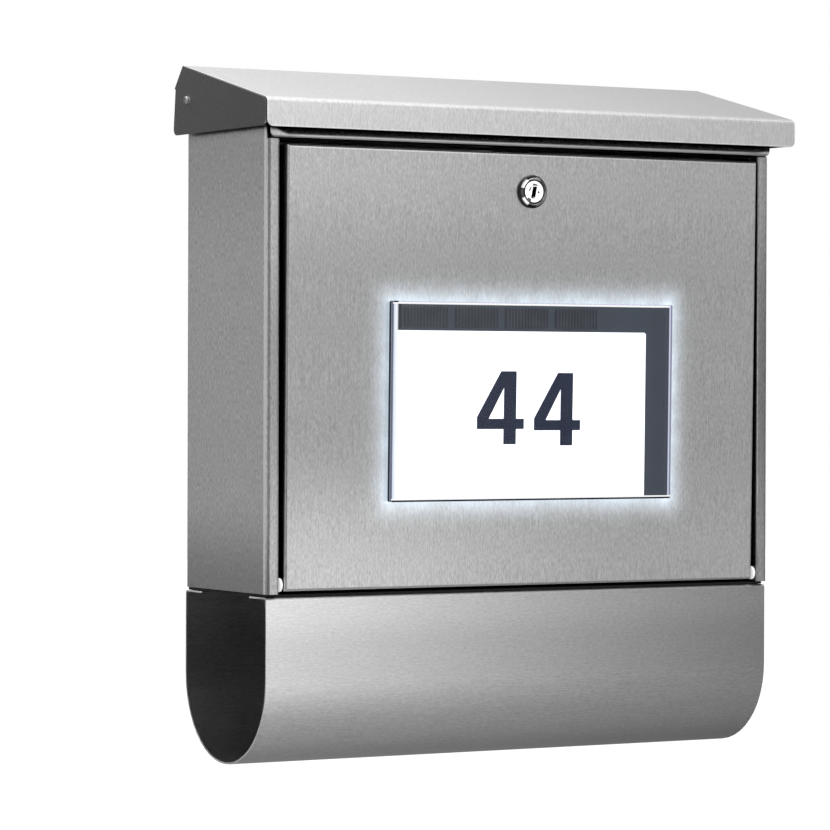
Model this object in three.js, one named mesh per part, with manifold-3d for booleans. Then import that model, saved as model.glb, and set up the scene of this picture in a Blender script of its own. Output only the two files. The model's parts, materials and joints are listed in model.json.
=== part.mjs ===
// A wall mailbox of folded stainless steel, with a lifting roof lid over the letter slot, a drop-down door
// that carries a lock and a solar lit house-number window, and a round-bottomed newspaper holder underneath.
//
// Millimetres, +Z up. The origin is on the wall plane (y = 0), in the middle of the back panel. The front
// faces -Y and +X is to the right of someone who stands in front of the box.

import * as THREE from "three";
import { mergeVertices } from "three/addons/utils/BufferGeometryUtils.js";
import Module from "manifold-3d";

const wasm = await Module();
wasm.setup();

// ---------------------------------------------------------------- driving dimensions

const SHEET = 1; // stainless sheet
const BEND = 1.5; // bend radius of the sheet's middle surface
const GAP = 0.3; // clearance left between pieces that rest on each other

const BODY = { width: 370, depth: 110, bottom: -130.5, shoulder: 158 };
const FLANGE = { width: 8.3, back: 8.7, bend: 2 }; // front flange of the side panels, and its return
const REAR_FLANGE = 14;
const BACK_TOP = 160.5;
const WALL_HOLES = { x: 140, high: 110, low: -80, radius: 4 };

const LID = {
  halfWidth: 194.5,
  front: -126.2,
  frontTop: 170.2,
  frontBottom: 152.8,
  ridge: [-13.3, 197],
  rearTop: [-1.9, 183],
  rearBottom: [-0.3, 153.5],
  seam: 1.2, // open joint between the fascia and the side skirts
  bend: 2.8,
  cornerRadius: 4,
};
const LID_PIVOT = { y: -18.5, z: 174.7 };

// The rail crosses the front over the door, and its upper part stands behind the lid's fascia.
const RAIL = { halfWidth: 184.4, front: -112.2, bottom: 147, top: 166, back: -95, topFlange: 13.2 };
const SLOT = { halfWidth: 167, front: -88, back: -52 };

// The door is unlocked and stands a little ajar at rest: it leans out by its angle, about the hinge.
const DOOR = { halfWidth: 173.2, bottom: -128.8, top: 143.4, front: -109.7, depth: 12.5, lean: 0.9 };
const DOOR_PIVOT = { y: -105.5, z: -124.8 };
const BUSH = { radius: 4.2, forward: 1.3, width: 1.5 }; // nylon washer with an off-centre hole
const STAY = { radius: 72, width: 8, thickness: 1.5, sweep: 86.5 };

const HOLDER = { halfWidth: 184.7, top: -132.5, bottom: -238, depth: 107.8, flange: 22 };
const HOLDER_SCREW = { x: 120, front: -91, back: -12 };

const WINDOW = { x: 1.6, z: -12.85, width: 206.8, height: 124.2, stand: 5 };
const CAVITY = { width: 202.6, height: 121 }; // hollow of the clear cover
const TONGUE = { width: 204.8, height: 122.8, depth: 4.5 }; // the part of the cover that enters the door
const LAMP = { width: 216, height: 136 };
const STUD = { x: 114.5, z: 50, radius: 2 };
const BATTERY_BOX = { width: 112, height: 44, z: -28, depth: 17.2 };
const LOCK = { x: 0.5, z: 119.1, barrel: 9.3, core: 7.1, collar: 10.25, reach: 33 };

const PIN = 2; // radius of the rivets that the lid and the door turn on
const HOLE = 2.35; // radius of the holes that they run in

// ---------------------------------------------------------------- finishes

const finish = (color, roughness, metalness, more = {}) =>
  new THREE.MeshStandardMaterial({ color, roughness, metalness, ...more });
const STEEL = finish(0xb4b4b2, 0.36, 1);
const CHROME = finish(0xe0e0e0, 0.08, 1);
const ZINC = finish(0x9aa0a4, 0.4, 1);
const NYLON = finish(0xf2f2ee, 0.45, 0);
const RUBBER = finish(0x141414, 0.8, 0);
const CLEAR = finish(0xeef4ff, 0.05, 0, { transparent: true, opacity: 0.25 });
const DIFFUSER = finish(0xffffff, 0.5, 0, { emissive: 0xffffff });
const MASK = finish(0x3f464f, 0.45, 0);
const CELL = finish(0x30353d, 0.25, 0.2);
const VINYL = finish(0x2c3347, 0.5, 0);
const HOUSING = finish(0xd8d8d4, 0.5, 0);
const BOARD = finish(0x1f5a38, 0.5, 0);
const BATTERY = finish(0x3a6fb0, 0.35, 0.3);

// ---------------------------------------------------------------- solids

// A closed three.js geometry as a solid, turned the right way out.
function solid(geometry) {
  const bare = geometry.index ? geometry.toNonIndexed() : geometry.clone();
  bare.deleteAttribute("normal");
  bare.deleteAttribute("uv");
  const merged = mergeVertices(bare, 1e-4);
  const triVerts = new Uint32Array(merged.index.array);
  const vertProperties = merged.attributes.position.array;
  const made = new wasm.Manifold(new wasm.Mesh({ numProp: 3, vertProperties, triVerts }));
  if (made.volume() > 0) return made;
  const turned = triVerts.map((_, i) => triVerts[i - (i % 3) + ((3 - (i % 3)) % 3)]);
  return new wasm.Manifold(new wasm.Mesh({ numProp: 3, vertProperties, triVerts: turned }));
}

function geometryOf(made) {
  const { vertProperties, triVerts } = made.getMesh();
  const geometry = new THREE.BufferGeometry();
  geometry.setAttribute("position", new THREE.BufferAttribute(vertProperties, 3));
  geometry.setIndex(new THREE.BufferAttribute(triVerts, 1));
  geometry.computeVertexNormals();
  return geometry;
}

const joined = (...solids) => solids.reduce((a, b) => a.add(b));
const cut = (from, ...tools) => tools.reduce((a, b) => a.subtract(b), from);

// A box from its two extremes along each axis.
function box([x0, x1], [y0, y1], [z0, z1]) {
  const geometry = new THREE.BoxGeometry(Math.abs(x1 - x0), Math.abs(y1 - y0), Math.abs(z1 - z0));
  return solid(geometry.translate((x0 + x1) / 2, (y0 + y1) / 2, (z0 + z1) / 2));
}

// A box whose front edges, at the lower y, are rounded.
function roundedFront([x0, x1], [front, back], [z0, z1], radius) {
  const level = outline([[x0, front, radius], [x1, front, radius], [x1, back], [x0, back]]);
  const upright = outline([[front, z0, radius], [back, z0], [back, z1], [front, z1, radius]]);
  return swept(level, z0, z1, ALONG_Z).intersect(swept(upright, x0, x1, ALONG_X));
}

// The axes that an outline's own x, y and depth take: ALONG_X draws in (y, z), ALONG_Y in (x, z).
const axes = (u, v, w) =>
  new THREE.Matrix4().makeBasis(new THREE.Vector3(...u), new THREE.Vector3(...v), new THREE.Vector3(...w));
const ALONG_X = axes([0, 1, 0], [0, 0, 1], [1, 0, 0]);
const ALONG_Y = axes([1, 0, 0], [0, 0, 1], [0, -1, 0]);
const ALONG_Z = axes([1, 0, 0], [0, 1, 0], [0, 0, 1]);

// A shape swept straight from one station to another along the direction's axis.
function swept(shape, from, to, direction) {
  const low = direction === ALONG_Y ? -Math.max(from, to) : Math.min(from, to);
  const geometry = new THREE.ExtrudeGeometry(shape, {
    depth: Math.abs(to - from),
    bevelEnabled: false,
    curveSegments: 6,
  });
  return solid(geometry.translate(0, 0, low).applyMatrix4(direction));
}

// A round solid from (radius, station) pairs, turned about the Y axis, or about X or Z.
function turned(profile, axis = "y", segments = 24) {
  const points = profile.map(([r, s]) => new THREE.Vector2(r, s));
  const geometry = new THREE.LatheGeometry(points, segments);
  if (axis === "x") geometry.rotateZ(-Math.PI / 2);
  if (axis === "z") geometry.rotateX(Math.PI / 2);
  return solid(geometry);
}

const cylinder = (radius, from, to, axis, segments) =>
  turned([[0, from], [radius, from], [radius, to], [0, to]], axis, segments);
const ring = (outer, inner, from, to, axis, segments) =>
  turned([[inner, from], [outer, from], [outer, to], [inner, to], [inner, from]], axis, segments);

// ---------------------------------------------------------------- outlines

// The points of the round that takes the place of a corner, each with the direction of travel there.
function roundedCorner(before, corner, after, radius) {
  const arriving = corner.clone().sub(before).normalize();
  const leaving = after.clone().sub(corner).normalize();
  const turn = Math.atan2(arriving.cross(leaving), arriving.dot(leaving));
  if (radius === 0 || Math.abs(turn) < 1e-6) {
    return [{ at: corner.clone(), along: arriving.clone().add(leaving).normalize(), turn }];
  }
  const back = radius * Math.tan(Math.abs(turn) / 2);
  const start = corner.clone().addScaledVector(arriving, -back);
  const side = new THREE.Vector2(-arriving.y, arriving.x).multiplyScalar(Math.sign(turn));
  const centre = start.clone().addScaledVector(side, radius);
  const steps = Math.max(2, Math.ceil(Math.abs(turn) / THREE.MathUtils.degToRad(radius > 10 ? 7.5 : 23)));
  return Array.from({ length: steps + 1 }, (_, i) => {
    const angle = (turn * i) / steps;
    const along = arriving.clone().rotateAround(new THREE.Vector2(), angle);
    const out = side.clone().rotateAround(new THREE.Vector2(), angle);
    return { at: centre.clone().addScaledVector(out, -radius), along, turn: 0 };
  });
}

// A closed outline of [x, y] or [x, y, corner radius] points.
function outline(points) {
  const at = points.map(([x, y]) => new THREE.Vector2(x, y));
  const n = at.length;
  return new THREE.Shape(
    points.flatMap(([, , radius = 0], i) =>
      roundedCorner(at[(i + n - 1) % n], at[i], at[(i + 1) % n], radius).map((p) => p.at),
    ),
  );
}

const rectangle = (width, height, x = 0, y = 0, radius = 0) =>
  outline([
    [x - width / 2, y - height / 2, radius],
    [x + width / 2, y - height / 2, radius],
    [x + width / 2, y + height / 2, radius],
    [x - width / 2, y + height / 2, radius],
  ]);

// The section of a folded sheet. The points are the corners of its middle surface, each [x, y] or
// [x, y, bend radius], from one free edge to the other.
function foldedSheet(points, thickness = SHEET) {
  const at = points.map(([x, y]) => new THREE.Vector2(x, y));
  const stations = points.flatMap(([, , radius = BEND], i) => {
    if (i === 0) return [{ at: at[0], along: at[1].clone().sub(at[0]).normalize() }];
    if (i === at.length - 1) return [{ at: at[i], along: at[i].clone().sub(at[i - 1]).normalize() }];
    return roundedCorner(at[i - 1], at[i], at[i + 1], radius);
  });
  const offset = (s, distance) =>
    s.at.clone().addScaledVector(new THREE.Vector2(-s.along.y, s.along.x), distance);
  return new THREE.Shape([
    ...stations.map((s) => offset(s, thickness / 2)),
    ...stations.map((s) => offset(s, -thickness / 2)).reverse(),
  ]);
}

// ---------------------------------------------------------------- assembly

const mailbox = new THREE.Group();

function put(parent, name, made, material, [x, y, z] = [0, 0, 0], rotation = [0, 0, 0]) {
  const mesh = new THREE.Mesh(geometryOf(made), material);
  mesh.name = name;
  mesh.position.set(x, y, z);
  mesh.rotation.set(...rotation);
  parent.add(mesh);
}

function groupAt(parent, x, y, z) {
  const group = new THREE.Group();
  group.position.set(x, y, z);
  parent.add(group);
  return group;
}

const SIDES = [
  ["left", -1],
  ["right", 1],
];
const HALF = SHEET / 2;
const halfBody = BODY.width / 2;
const inside = halfBody - SHEET - GAP; // half width of the pieces that fit between the side panels
const rearFlangeY = -SHEET - GAP - HALF;

// ---------------------------------------------------------------- casing

// Side panel with its rear flange, its front flange and that flange's return, as a sheet seen from above.
function sidePanel(sign) {
  const x = sign * (halfBody - HALF);
  const returnX = sign * (halfBody - FLANGE.width + HALF);
  const frontY = -BODY.depth + HALF;
  const section = foldedSheet([
    [sign * (halfBody - REAR_FLANGE), rearFlangeY],
    [x, rearFlangeY],
    [x, frontY, FLANGE.bend],
    [returnX, frontY],
    [returnX, -BODY.depth + FLANGE.back],
  ]);
  const lidTop = LID.ridge[1];
  const folded = swept(section, BODY.bottom, lidTop, ALONG_Z);
  // The top edge climbs towards the wall, to carry the lid's pivot under the ridge.
  const above = outline([
    [-BODY.depth - 5, 160],
    [-BODY.depth, 160],
    [-32, 181, 6],
    [-8, 182, 6],
    [-5, 158],
    [5, 158],
    [5, lidTop + 5],
    [-BODY.depth - 5, lidTop + 5],
  ]);
  const outer = sign * (halfBody + 1);
  const notchInner = sign * (halfBody - SHEET);
  const pivots = [
    cylinder(HOLE, outer, sign * inside - sign * 5, "x").translate(0, LID_PIVOT.y, LID_PIVOT.z),
    cylinder(HOLE, sign * (halfBody - FLANGE.width - 1), sign * (halfBody - SHEET - 2), "x").translate(
      0,
      DOOR_PIVOT.y,
      DOOR_PIVOT.z,
    ),
  ];
  return cut(
    folded,
    swept(above, -halfBody - 5, halfBody + 5, ALONG_X),
    box([notchInner, sign * (halfBody - 30)], [-BODY.depth - 5, RAIL.back + GAP], [RAIL.bottom - GAP, lidTop]),
    box([outer, sign * (halfBody - 30)], [-BODY.depth - 5, -BODY.depth + BEND + 1], [RAIL.bottom - GAP, lidTop]),
    box([notchInner, sign * (halfBody - 30)], [-5, 1], [BODY.shoulder - 1.5, lidTop]),
    ...pivots,
  );
}

for (const [side, sign] of SIDES) put(mailbox, `${side}_side_panel`, sidePanel(sign), STEEL);

function backPanel() {
  const section = foldedSheet([
    [-10, BACK_TOP - HALF],
    [-HALF, BACK_TOP - HALF],
    [-HALF, BODY.bottom],
  ]);
  const holes = [-1, 1].flatMap((sign) =>
    [WALL_HOLES.high, WALL_HOLES.low].map((z) =>
      cylinder(WALL_HOLES.radius, -5, 5, "y").translate(sign * WALL_HOLES.x, 0, z),
    ),
  );
  return cut(swept(section, -inside, inside, ALONG_X), ...holes);
}

put(mailbox, "back_panel", backPanel(), STEEL);

// Floor of the letter compartment. It stops behind the door, so that the door's lower edge can swing past.
function floorPanel() {
  const x = inside - HALF;
  const z = BODY.bottom + HALF;
  const section = foldedSheet([
    [-x, z + 10],
    [-x, z],
    [x, z],
    [x, z + 10],
  ]);
  const drain = { x: 90, y: -50, radius: 3 };
  const front = 98;
  const back = 3.8;
  const plate = swept(section, -front, -back, ALONG_Y);
  const holes = [-1, 1].flatMap((sign) => [
    cylinder(HOLE, z - 3, z + 3, "z").translate(sign * HOLDER_SCREW.x, HOLDER_SCREW.front, 0),
    cylinder(HOLE, z - 3, z + 3, "z").translate(sign * HOLDER_SCREW.x, HOLDER_SCREW.back, 0),
    cylinder(drain.radius, z - 3, z + 3, "z").translate(sign * drain.x, drain.y, 0),
  ]);
  return cut(plate, ...holes);
}

put(mailbox, "floor_panel", floorPanel(), STEEL);

// Top plate with the letter slot, whose long edges are turned down.
function topPlate() {
  const lip = 4;
  const edge = 8;
  const x = inside - HALF;
  const z = BODY.shoulder;
  const section = foldedSheet([
    [-x, z - edge],
    [-x, z],
    [x, z],
    [x, z - edge],
  ]);
  const plate = swept(section, RAIL.back + GAP, -4.2, ALONG_Y);
  const slot = [
    [-SLOT.halfWidth, SLOT.halfWidth],
    [SLOT.front, SLOT.back],
  ];
  const turnedDown = box(slot[0], [SLOT.front - SHEET, SLOT.back + SHEET], [z - lip, z]);
  return cut(joined(plate, turnedDown), box(...slot, [z - edge - 1, z + 2]));
}

put(mailbox, "top_plate", topPlate(), STEEL);

// Sloping plate under the slot, which keeps a hand from reaching the letters. A notch leaves room for the cam.
function letterGuard() {
  const section = foldedSheet([
    [-89.5, 146],
    [-40, 104],
    [-40, 94],
  ]);
  const camNotch = box([-14, 14], [-92, -80], [138, 150]);
  return cut(swept(section, -inside, inside, ALONG_X), camNotch);
}

put(mailbox, "letter_guard", letterGuard(), STEEL);

// Front rail over the door: its face stands in front of the side panels' flanges, and its rear edge is the
// keeper that the lock's cam turns behind.
function frontRail() {
  const front = RAIL.front + HALF;
  const bottom = RAIL.bottom + HALF;
  const section = foldedSheet([
    [front + RAIL.topFlange, RAIL.top - HALF],
    [front, RAIL.top - HALF],
    [front, bottom],
    [RAIL.back - HALF, bottom],
    [RAIL.back - HALF, BODY.shoulder],
  ]);
  const face = outline([
    [-RAIL.halfWidth, RAIL.bottom, LID.cornerRadius],
    [RAIL.halfWidth, RAIL.bottom, LID.cornerRadius],
    [RAIL.halfWidth, RAIL.top, 1],
    [-RAIL.halfWidth, RAIL.top, 1],
  ]);
  const ends = [-1, 1].map((sign) =>
    box([sign * inside, sign * (halfBody + 1)], [-BODY.depth - GAP, 0], [RAIL.bottom - 1, RAIL.top + 1]),
  );
  const rail = swept(section, -halfBody, halfBody, ALONG_X).intersect(
    swept(face, RAIL.front - 1, RAIL.back + 1, ALONG_Y),
  );
  return cut(rail, ...ends);
}

put(mailbox, "front_rail", frontRail(), STEEL);

const LID_SLOPE = (LID.ridge[1] - LID.frontTop) / (LID.ridge[0] - LID.front);

// Rubber bumpers on the rail, which the lid's roof rests on.
for (const [side, sign] of SIDES) {
  const y = RAIL.front + RAIL.topFlange - 3;
  const roofUnderside = LID.frontTop + (y - 3.5 - LID.front) * LID_SLOPE - SHEET * 1.03;
  const height = roofUnderside - RAIL.top - 2 * GAP;
  const bumper = turned([[0, 0], [3.5, 0], [3.5, height - 1.5], [2.4, height], [0, height]], "z", 20);
  put(mailbox, `lid_bumper_${side}`, bumper, RUBBER, [sign * 150, y, RAIL.top + GAP]);
}

// ---------------------------------------------------------------- lid

const lidPivot = groupAt(mailbox, 0, LID_PIVOT.y, LID_PIVOT.z);

// One folded sheet: fascia, roof and rear slope, with side skirts that are open at the front corners.
function lidShell() {
  const towards = (a, b, distance) => {
    const step = new THREE.Vector2(b[0] - a[0], b[1] - a[1]).normalize();
    return [-step.y * distance, step.x * distance];
  };
  const frontTop = [LID.front, LID.frontTop];
  const roof = towards(LID.ridge, frontTop, HALF); // inwards, square to the roof
  const rear = towards(LID.rearTop, LID.ridge, HALF); // inwards, square to the rear slope
  const innerFront = LID.front + HALF;
  const ridgeInset = [LID.ridge[0] + (roof[0] + rear[0]) / 2, LID.ridge[1] - SHEET * 0.69];
  const section = foldedSheet([
    [LID.rearTop[0] + rear[0], LID.rearTop[1] + rear[1]],
    [...ridgeInset, BEND],
    [innerFront, LID.frontTop + HALF * LID_SLOPE - HALF * Math.hypot(1, LID_SLOPE), LID.bend],
    [innerFront, LID.frontBottom],
  ]);
  const face = outline([
    [-LID.halfWidth, LID.frontBottom, LID.cornerRadius],
    [LID.halfWidth, LID.frontBottom, LID.cornerRadius],
    [LID.halfWidth, LID.ridge[1] + 5],
    [-LID.halfWidth, LID.ridge[1] + 5],
  ]);
  const band = swept(section, -LID.halfWidth, LID.halfWidth, ALONG_X).intersect(
    swept(face, LID.front - 1, 1, ALONG_Y),
  );
  // The skirts stop short of the fascia, and the roof's rear edge is a small lip behind them.
  const skirtFront = SHEET + LID.seam;
  const skirtOutline = outline([
    [LID.front + skirtFront, LID.rearBottom[1], LID.cornerRadius],
    [LID.front + skirtFront, LID.frontTop + skirtFront * LID_SLOPE - HALF],
    [LID.ridge[0], LID.ridge[1] - HALF],
    [LID.rearTop[0] - 1.4, LID.rearTop[1] + HALF],
    [LID.rearBottom[0], LID.rearBottom[1], LID.cornerRadius],
  ]);
  const skirts = [-1, 1].map((sign) =>
    cut(
      swept(skirtOutline, sign * (LID.halfWidth - SHEET), sign * LID.halfWidth, ALONG_X),
      cylinder(HOLE, sign * (LID.halfWidth - 5), sign * (LID.halfWidth + 5), "x").translate(
        0,
        LID_PIVOT.y,
        LID_PIVOT.z,
      ),
    ),
  );
  return joined(band, ...skirts).translate(0, -LID_PIVOT.y, -LID_PIVOT.z);
}

put(lidPivot, "lid_shell", lidShell(), STEEL);

// A rivet along X: a head outside the skirt, the shank, and a head inside the side panel.
function lidPin() {
  const skirt = LID.halfWidth + GAP;
  const inner = halfBody - SHEET - GAP;
  return turned(
    [[0, inner - 1.5], [3.6, inner - 1.5], [3.6, inner], [PIN, inner], [PIN, skirt],
      [2.6, skirt], [2.2, skirt + 0.9], [0, skirt + 1.2]],
    "x",
  );
}

for (const [side, sign] of SIDES) {
  const facing = [0, 0, sign < 0 ? Math.PI : 0];
  const spacer = ring(5, HOLE, halfBody + GAP, LID.halfWidth - SHEET - GAP, "x");
  put(lidPivot, `lid_pivot_pin_${side}`, lidPin(), ZINC, [0, 0, 0], facing);
  put(lidPivot, `lid_spacer_${side}`, spacer, NYLON, [0, 0, 0], facing);
}

// ---------------------------------------------------------------- newspaper holder

function newspaperHolder() {
  const top = HOLDER.top - HALF;
  const front = -HOLDER.depth + HALF;
  const bottom = HOLDER.bottom + HALF;
  const bend = (front + HALF) / -2 - 0.01; // the bottom is a half round

  const section = foldedSheet([
    [-HOLDER.depth + HOLDER.flange, top],
    [front, top],
    [front, bottom, bend],
    [-HALF, bottom, bend],
    [-HALF, top],
    [-HOLDER.flange, top],
  ]);
  const holes = [-1, 1].flatMap((sign) =>
    [HOLDER_SCREW.front, HOLDER_SCREW.back].map((y) =>
      cylinder(HOLE, top - 3, top + 3, "z").translate(sign * HOLDER_SCREW.x, y, 0),
    ),
  );
  return cut(swept(section, -HOLDER.halfWidth, HOLDER.halfWidth, ALONG_X), ...holes);
}

put(mailbox, "newspaper_holder", newspaperHolder(), STEEL);

const corners = [
  ["front_left", -HOLDER_SCREW.x, HOLDER_SCREW.front],
  ["front_right", HOLDER_SCREW.x, HOLDER_SCREW.front],
  ["rear_left", -HOLDER_SCREW.x, HOLDER_SCREW.back],
  ["rear_right", HOLDER_SCREW.x, HOLDER_SCREW.back],
];

// Rubber gasket all round the box's underside, which the holder's flanges are drawn up against.
function holderGasket() {
  const width = 9;
  const half = HOLDER.halfWidth - 1.2;
  const front = -HOLDER.depth + 2;
  const thickness = [HOLDER.top + GAP, BODY.bottom - GAP];
  const frame = cut(
    box([-half, half], [front, -1.5], thickness),
    box([-half + width, half - width], [-HOLDER.depth + HOLDER.flange - 1, -HOLDER.flange + 1], [-140, -120]),
  );
  const holes = corners.map(([, x, y]) => cylinder(HOLE, -140, -120, "z").translate(x, y, 0));
  return cut(frame, ...holes);
}

put(mailbox, "holder_gasket", holderGasket(), RUBBER);

// Pan-head screws from inside the box, with nuts under the holder's flanges.
for (const [place, x, y] of corners) {
  const head = BODY.bottom + SHEET + GAP;
  const end = HOLDER.top - 6;
  const screw = turned(
    [[0, end], [PIN - 0.1, end], [PIN - 0.1, head], [3.8, head], [3.8, head + 1.4], [2.6, head + 2.4], [0, head + 2.4]],
    "z",
    20,
  );
  put(mailbox, `holder_screw_${place}`, screw, ZINC, [x, y, 0]);
  put(mailbox, `holder_nut_${place}`, hexNut(7, HOLE, 3), ZINC, [x, y, HOLDER.top - SHEET - GAP - 3]);
}

// A hexagon nut standing on z = 0, from its width across the flats, bore radius and height.
function hexNut(acrossFlats, bore, height) {
  const radius = acrossFlats / Math.sqrt(3);
  const hexagon = new THREE.Shape(
    Array.from({ length: 6 }, (_, i) => {
      const angle = (i * Math.PI) / 3;
      return new THREE.Vector2(radius * Math.cos(angle), radius * Math.sin(angle));
    }),
  );
  return cut(swept(hexagon, 0, height, ALONG_Z), cylinder(bore, -1, height + 1, "z", 16));
}

// ---------------------------------------------------------------- door

// Everything on the door is drawn about the hinge axis, with y = 0 and z = 0 on it.
const door = groupAt(mailbox, 0, DOOR_PIVOT.y, DOOR_PIVOT.z);
door.rotation.x = THREE.MathUtils.degToRad(DOOR.lean);
const face = DOOR.front - DOOR_PIVOT.y; // the door's front face, from the hinge axis
const windowZ = WINDOW.z - DOOR_PIVOT.z;
const lockZ = LOCK.z - DOOR_PIVOT.z;

function doorPanel() {
  const low = DOOR.bottom - DOOR_PIVOT.z;
  const high = DOOR.top - DOOR_PIVOT.z;
  const half = DOOR.halfWidth;
  const back = face + DOOR.depth;
  const bend = BEND + HALF;
  const tray = cut(
    roundedFront([-half, half], [face, back], [low, high], bend),
    roundedFront(
      [-half + SHEET, half - SHEET],
      [face + SHEET, back + 1],
      [low + SHEET, high - SHEET],
      bend - SHEET,
    ),
  );
  const studs = [-1, 1].flatMap((sx) =>
    [-1, 1].map((sz) =>
      cylinder(STUD.radius, face + HALF, face + 7, "y", 16).translate(
        WINDOW.x + sx * STUD.x,
        0,
        windowZ + sz * STUD.z,
      ),
    ),
  );
  const opening = rectangle(TONGUE.width + 2 * GAP, TONGUE.height + 2 * GAP, WINDOW.x, windowZ);
  return cut(
    joined(tray, ...studs),
    swept(opening, face - 2, face + 3, ALONG_Y),
    cylinder(LOCK.barrel + GAP, face - 2, face + 3, "y", 48).translate(LOCK.x, 0, lockZ),
    cylinder(HOLE, -half - 2, -half + 3, "x"),
    cylinder(HOLE, half - 3, half + 2, "x"),
  );
}

put(door, "door_panel", doorPanel(), STEEL);

// Curved arm on the door's side flange. Its peg meets the back of the side panel's flange when the door is open.
function doorStay(sign) {
  const inner = STAY.radius - STAY.width / 2;
  const outer = STAY.radius + STAY.width / 2;
  const start = THREE.MathUtils.degToRad(90 - STAY.sweep);
  const end = THREE.MathUtils.degToRad(90.8);
  const sector = new THREE.Shape();
  sector.absarc(0, 0, outer, start, end, false);
  sector.absarc(0, 0, inner, end, start, true);
  const flat = new THREE.Shape(sector.getPoints(14));
  const plane = sign * (DOOR.halfWidth - SHEET - GAP);
  const arm = swept(flat, plane - sign * STAY.thickness, plane, ALONG_X);
  const peg = cylinder(2.5, plane - sign * STAY.thickness, sign * (halfBody - 4.5), "x", 16).translate(
    0,
    STAY.radius * Math.cos(start),
    STAY.radius * Math.sin(start),
  );
  return joined(arm, peg);
}

// A rivet along X: a head behind the flange's return, the shank, and a head inside the door's side flange.
function doorPin() {
  const outer = halfBody - FLANGE.width + SHEET + GAP;
  const inner = DOOR.halfWidth - SHEET - GAP;
  return turned(
    [[0, inner - 1.4], [2.3, inner - 1.2], [2.5, inner], [PIN, inner], [PIN, outer],
      [2.7, outer], [2.5, outer + 1.5], [0, outer + 1.5]],
    "x",
  );
}

for (const [side, sign] of SIDES) {
  const facing = [0, 0, sign < 0 ? Math.PI : 0];
  put(door, `door_stay_${side}`, doorStay(sign), STEEL);
  put(door, `door_pivot_pin_${side}`, doorPin(), ZINC, [0, 0, 0], facing);
}

// Nylon washers between the door and the side panels, fixed to the casing. Each lies at the left of its play.
function hingeBush(sign) {
  const from = sign < 0 ? FLANGE.width + GAP - halfBody : DOOR.halfWidth + GAP;
  const to = from + BUSH.width;
  return cut(
    cylinder(BUSH.radius, from, to, "x", 40).translate(0, -BUSH.forward, 0),
    cylinder(HOLE, from - 1, to + 1, "x"),
  );
}

for (const [side, sign] of SIDES) {
  put(mailbox, `hinge_bush_${side}`, hingeBush(sign), NYLON, [0, DOOR_PIVOT.y, DOOR_PIVOT.z]);
}

// ---------------------------------------------------------------- house-number window

// The lamp is drawn about the middle of the window, with y = 0 on the door's front face.
const lamp = groupAt(door, WINDOW.x, face, windowZ);
const COVER = 1; // thickness of the clear cover's front

// The layers behind the cover's front, each from its front to its back.
const LAYERS = { cell: [-3.7, -3.5], module: [-3.2, -2.9], print: [-2.6, -2.4], panel: [-2.1, -0.6] };

const slab = (width, height, x, z, from, to, radius) =>
  swept(rectangle(width, height, x, z, radius), from, to, ALONG_Y);

function windowCover() {
  const front = -WINDOW.stand;
  return cut(
    joined(
      slab(WINDOW.width, WINDOW.height, 0, 0, front, -GAP, 1.2),
      slab(TONGUE.width, TONGUE.height, 0, 0, front + COVER, TONGUE.depth),
    ),
    slab(CAVITY.width, CAVITY.height, 0, 0, front + COVER, TONGUE.depth + 1),
  );
}

put(lamp, "window_cover", windowCover(), CLEAR);

const cavityLeft = -CAVITY.width / 2 + GAP;
const cavityTop = CAVITY.height / 2 - GAP;
const MASK_WIDTH = 16.2;

const panelSize = [CAVITY.width - 2 * GAP, CAVITY.height - 2 * GAP];
put(lamp, "number_panel", slab(...panelSize, 0, 0, ...LAYERS.panel), DIFFUSER);

// L-shaped mask along the top and the right of the lit panel.
function windowMask() {
  const right = -cavityLeft;
  const bottom = -cavityTop;
  const shape = outline([
    [cavityLeft, cavityTop],
    [cavityLeft, cavityTop - MASK_WIDTH],
    [right - MASK_WIDTH, cavityTop - MASK_WIDTH, 1.5],
    [right - MASK_WIDTH, bottom],
    [right, bottom],
    [right, cavityTop],
  ]);
  return swept(shape, ...LAYERS.print, ALONG_Y);
}

put(lamp, "window_mask", windowMask(), MASK);

const MODULE_WIDTH = 156.4;
const moduleZ = cavityTop - MASK_WIDTH / 2;
put(
  lamp,
  "solar_module",
  slab(MODULE_WIDTH, MASK_WIDTH - 0.4, cavityLeft + MODULE_WIDTH / 2, moduleZ, ...LAYERS.module),
  MASK,
);

const CELLS = { count: 4, width: 31.3, height: 12.4, pitch: 36.7, first: 22 };
for (let i = 0; i < CELLS.count; i++) {
  const x = cavityLeft + CELLS.first + i * CELLS.pitch;
  put(lamp, `solar_cell_${i + 1}`, slab(CELLS.width, CELLS.height, x, moduleZ, ...LAYERS.cell), CELL);
}

// A plain four, drawn from its lower left corner.
function digitFour() {
  const figure = outline([
    [0, 9.6],
    [19.5, 9.6],
    [19.5, 0],
    [28.6, 0],
    [28.6, 9.6],
    [34.4, 9.6],
    [34.4, 16.1],
    [28.6, 16.1],
    [28.8, 45.9],
    [17.5, 45.9],
    [0, 17.2],
  ]);
  const eye = [[8.5, 16.1], [19.7, 35.8], [19.6, 16.1]].map(([x, y]) => new THREE.Vector2(x, y));
  figure.holes.push(new THREE.Path(eye));
  return swept(figure, ...LAYERS.print, ALONG_Y);
}

for (const [place, x, z] of [["tens", -40.8, -26.9], ["units", 1.2, -27.8]]) {
  put(lamp, `number_${place}`, digitFour(), VINYL, [x, 0, z]);
}

put(
  lamp,
  "window_gasket",
  cut(
    slab(LAMP.width, LAMP.height, 0, 0, 1.3, 2.5),
    slab(TONGUE.width + 4, TONGUE.height + 4, 0, 0, 0, 4),
  ),
  RUBBER,
);

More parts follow.
